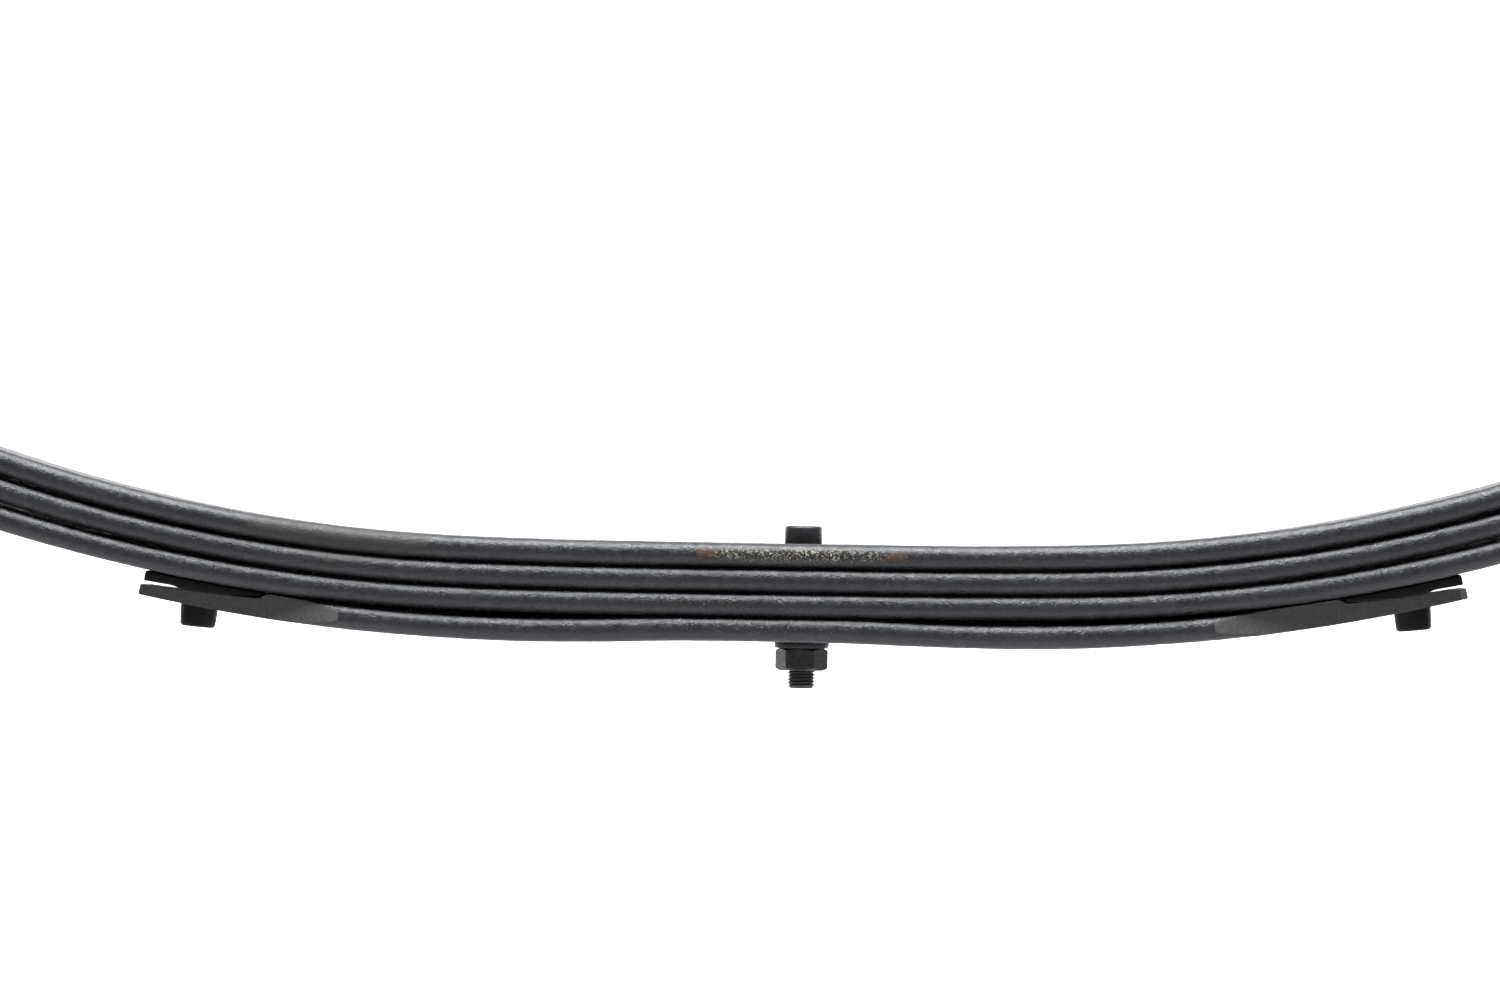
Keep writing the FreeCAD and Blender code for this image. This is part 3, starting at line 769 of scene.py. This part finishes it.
def corner_angle(node, centre):
    """Where a corner of a node's hexagon points, from its point farthest from the centre."""
    around = [(v.co.x / MM - centre[0], v.co.z / MM - centre[2]) for v in frame["nodes"][node].data.vertices]
    x, z = max(around, key=lambda p: round(math.hypot(*p), 3))
    return math.atan2(z, x)


def clip_pieces(end):
    bolt_low, bolt_high = box_mm(f"{end}_clip_bolt")
    nut_low, nut_high = box_mm(f"{end}_clip_nut")
    spacer_low, spacer_high = box_mm(f"{end}_clip_spacer")
    centre = ((bolt_low.x + bolt_high.x) / 2, 0, (bolt_low.z + bolt_high.z) / 2)
    turn = corner_angle(f"{end}_clip_nut", centre) + math.radians(30)
    body = f"{end}_arm"

    head = hex_nut(f"{end}_clip_bolt_head", CLIP_FLATS, 0, STRAP_OUTSIDE, -bolt_low.y, False)
    thread = threaded(f"{end}_clip_bolt_thread", CLIP_THREAD_R, CLIP_THREAD_DEPTH, THREAD_PITCH,
                      -bolt_high.y, -nut_high.y + 2.0, 0.8)
    section = [(CLIP_ROOT_R, -nut_high.y + 1.5), (CLIP_ROOT_R, -nut_low.y)]
    section += [(CLIP_THREAD_R, -nut_low.y), (CLIP_THREAD_R, STRAP_OUTSIDE + 1.0)]
    shank = turned(f"{end}_clip_bolt_shank", section)
    for part in (head, thread, shank):
        placed(part, centre, (0, -1, 0), turn)
    bolt = joined(f"{end}_clip_bolt_threaded", [head, thread, shank])
    dressed(bolt, zinc, f"{end}_clip_bolt", body)

    nut = hex_nut(f"{end}_clip_hexagon_nut", CLIP_FLATS, CLIP_NUT_BORE, -nut_high.y, -nut_low.y)
    dressed(placed(nut, centre, (0, -1, 0), turn), zinc, f"{end}_clip_nut", body)

    half, outer = spacer_high.y, (spacer_high.x - spacer_low.x) / 2
    lower = [(SPACER_BORE, 0.3 - half), (SPACER_BORE + 0.3, -half), (outer - 0.5, -half)]
    lower += [(outer - 0.1, 0.15 - half), (outer, 0.6 - half)]
    spacer = turned(f"{end}_clip_tube", mirrored(lower), 72, True)
    dressed(placed(spacer, centre, (0, 1, 0)), zinc, f"{end}_clip_spacer", body)


for end, _ in ENDS:
    clip_pieces(end)


# ---------------------------------------------------------------- eye bushes and sleeves
BUSH_BORE = 10.05
BUSH_R = 17.2
FLANGE = 4.5  # thickness of a bush's flange
SLEEVE_BORE = 8.1


def bush(end, side, way):
    low, high = box_mm(f"{end}_eye_bush_{side}")
    centre = ((low.x + high.x) / 2, 0, (low.z + high.z) / 2)
    flange, outer = (high.x - low.x) / 2, max(abs(low.y), abs(high.y))
    section = [(BUSH_BORE, 1.0), (BUSH_BORE + 0.6, 0.25), (BUSH_R - 0.8, 0.25), (BUSH_R - 0.2, 0.5)]
    section += [(BUSH_R, 1.1), (BUSH_R, outer - FLANGE), (flange - 0.9, outer - FLANGE)]
    section += rounded_corner(flange - 1.2, outer - 3.3, 1.2, -60)[1:3]
    section += rounded_corner(flange - 1.5, outer - 1.5, 1.5, 0)
    section += [(19.4, outer), (19.0, outer - 0.25), (18.2, outer - 0.25), (17.8, outer)]
    section += [(BUSH_BORE + 1.0, outer), (BUSH_BORE + 0.3, outer - 0.2), (BUSH_BORE, outer - 0.8)]
    piece = placed(turned(f"{end}_bush_{side}", section, 96, True), centre, (0, way, 0))
    dressed(piece, rubber, f"{end}_eye_bush_{side}", f"{end}_arm")


def sleeve(end):
    low, high = box_mm(f"{end}_eye_sleeve")
    centre = ((low.x + high.x) / 2, 0, (low.z + high.z) / 2)
    outer, half = (high.x - low.x) / 2, high.y
    lower = [(SLEEVE_BORE, 0.5 - half), (SLEEVE_BORE + 0.4, -half), (outer - 0.6, -half)]
    lower += [(outer - 0.1, 0.5 - half), (outer, 0.8 - half)]
    piece = placed(turned(f"{end}_sleeve_tube", mirrored(lower), 96, True), centre, (0, 1, 0))
    dressed(piece, tube, f"{end}_eye_sleeve", f"{end}_sleeve")


for end, _ in ENDS:
    bush(end, "left", -1)
    bush(end, "right", 1)
    sleeve(end)

# ---------------------------------------------------------------- CAD pieces that stay, with their materials
SLOT_MATERIAL = {
    "blackened_steel": black_steel,
    "pad_rubber": rubber,
    "bush_rubber": rubber,
    "sleeve_steel": tube,
    "painted_clip_steel": clip_paint,
    "zinc_steel": zinc,
}
for part in frame["record"]["subparts"]:
    node = frame["nodes"][part["node"]]
    if part["material_slot"] in SLOT_MATERIAL:
        node.data.materials.clear()
        node.data.materials.append(SLOT_MATERIAL[part["material_slot"]])
for end, _ in ENDS:
    rounding = frame["nodes"][f"{end}_clip_strap"].modifiers.new("rounding", "BEVEL")
    rounding.width = 0.7 * MM
    rounding.segments = 3
    rounding.limit_method = "ANGLE"
    rounding.angle_limit = math.radians(50)


# ---------------------------------------------------------------- stage, light and camera
FLOOR_Z = -0.42
GREY = (0.52, 0.52, 0.53)
WHITE = (0.99, 0.985, 0.985)
LAMP_COLOUR = (0.94, 0.965, 1.0)
SENSOR = 36.0


def stage_plane(name, width, depth, place, turn, colour, glow):
    half_w, half_d = width / 2, depth / 2
    corners = [(-half_w, -half_d, 0), (half_w, -half_d, 0), (half_w, half_d, 0), (-half_w, half_d, 0)]
    mesh = bpy.data.meshes.new(name)
    mesh.from_pydata(corners, [], [(0, 1, 2, 3)])
    obj = bpy.data.objects.new(name, mesh)
    obj.location = place
    obj.rotation_euler = turn
    bpy.context.scene.collection.objects.link(obj)
    material, _, _, shader = new_material(name)
    shader.inputs["Base Color"].default_value = (*colour, 1)
    shader.inputs["Roughness"].default_value = 0.9
    shader.inputs["Emission Color"].default_value = (*colour, 1)
    shader.inputs["Emission Strength"].default_value = glow
    mesh.materials.append(material)


stage_plane("floor", 12.0, 7.4, (0, -2.5, FLOOR_Z), (0, 0, 0), GREY, 0.02)
stage_plane("far_floor", 14.0, 4.0, (0, 3.2, FLOOR_Z), (0, 0, 0), WHITE, 1.0)
stage_plane("backdrop", 14.0, 7.0, (0, 5.0, 2.5), (math.radians(90), 0, 0), WHITE, 1.0)


def soft_light(name, place, size, power, aim=(0, 0, 0)):
    lamp = bpy.data.lights.new(name, "AREA")
    lamp.shape = "RECTANGLE"
    lamp.size, lamp.size_y = size
    lamp.energy = power
    lamp.color = LAMP_COLOUR
    obj = bpy.data.objects.new(name, lamp)
    obj.location = place
    obj.rotation_euler = (Vector(aim) - Vector(place)).to_track_quat("-Z", "Y").to_euler()
    bpy.context.scene.collection.objects.link(obj)


soft_light("overhead", (0.0, -0.30, 1.35), (2.6, 0.45), 98.0)
soft_light("front", (0.0, -2.2, 0.75), (2.2, 0.7), 1.5)

world = bpy.data.worlds.new("studio")
bpy.context.scene.world = world
world.use_nodes = True
world.node_tree.nodes["Background"].inputs["Color"].default_value = (0.88, 0.92, 0.98, 1)
world.node_tree.nodes["Background"].inputs["Strength"].default_value = 0.10
bpy.context.scene.view_settings.view_transform = "Standard"

FRAME_WIDTH = 0.5525  # what the picture spans at the spring, in metres
CAMERA_AWAY = 3.0
FRAME_CENTRE = (-0.0198, 0.0, 0.0158)
CAMERA_HIGH = 0.008
ROLL = math.radians(0.95)
camera = bpy.data.objects.new("camera", bpy.data.cameras.new("camera"))
camera.data.sensor_width = SENSOR
camera.data.lens = SENSOR * CAMERA_AWAY / FRAME_WIDTH
camera.data.clip_end = 50.0
camera.data.shift_y = (FRAME_CENTRE[2] - CAMERA_HIGH) / FRAME_WIDTH
camera.location = (FRAME_CENTRE[0], -CAMERA_AWAY, CAMERA_HIGH)
level = Matrix.Rotation(math.radians(90), 4, "X")
camera.matrix_world = Matrix.Translation(camera.location) @ level @ Matrix.Rotation(ROLL, 4, "Z")
bpy.context.scene.collection.objects.link(camera)
bpy.context.scene.camera = camera
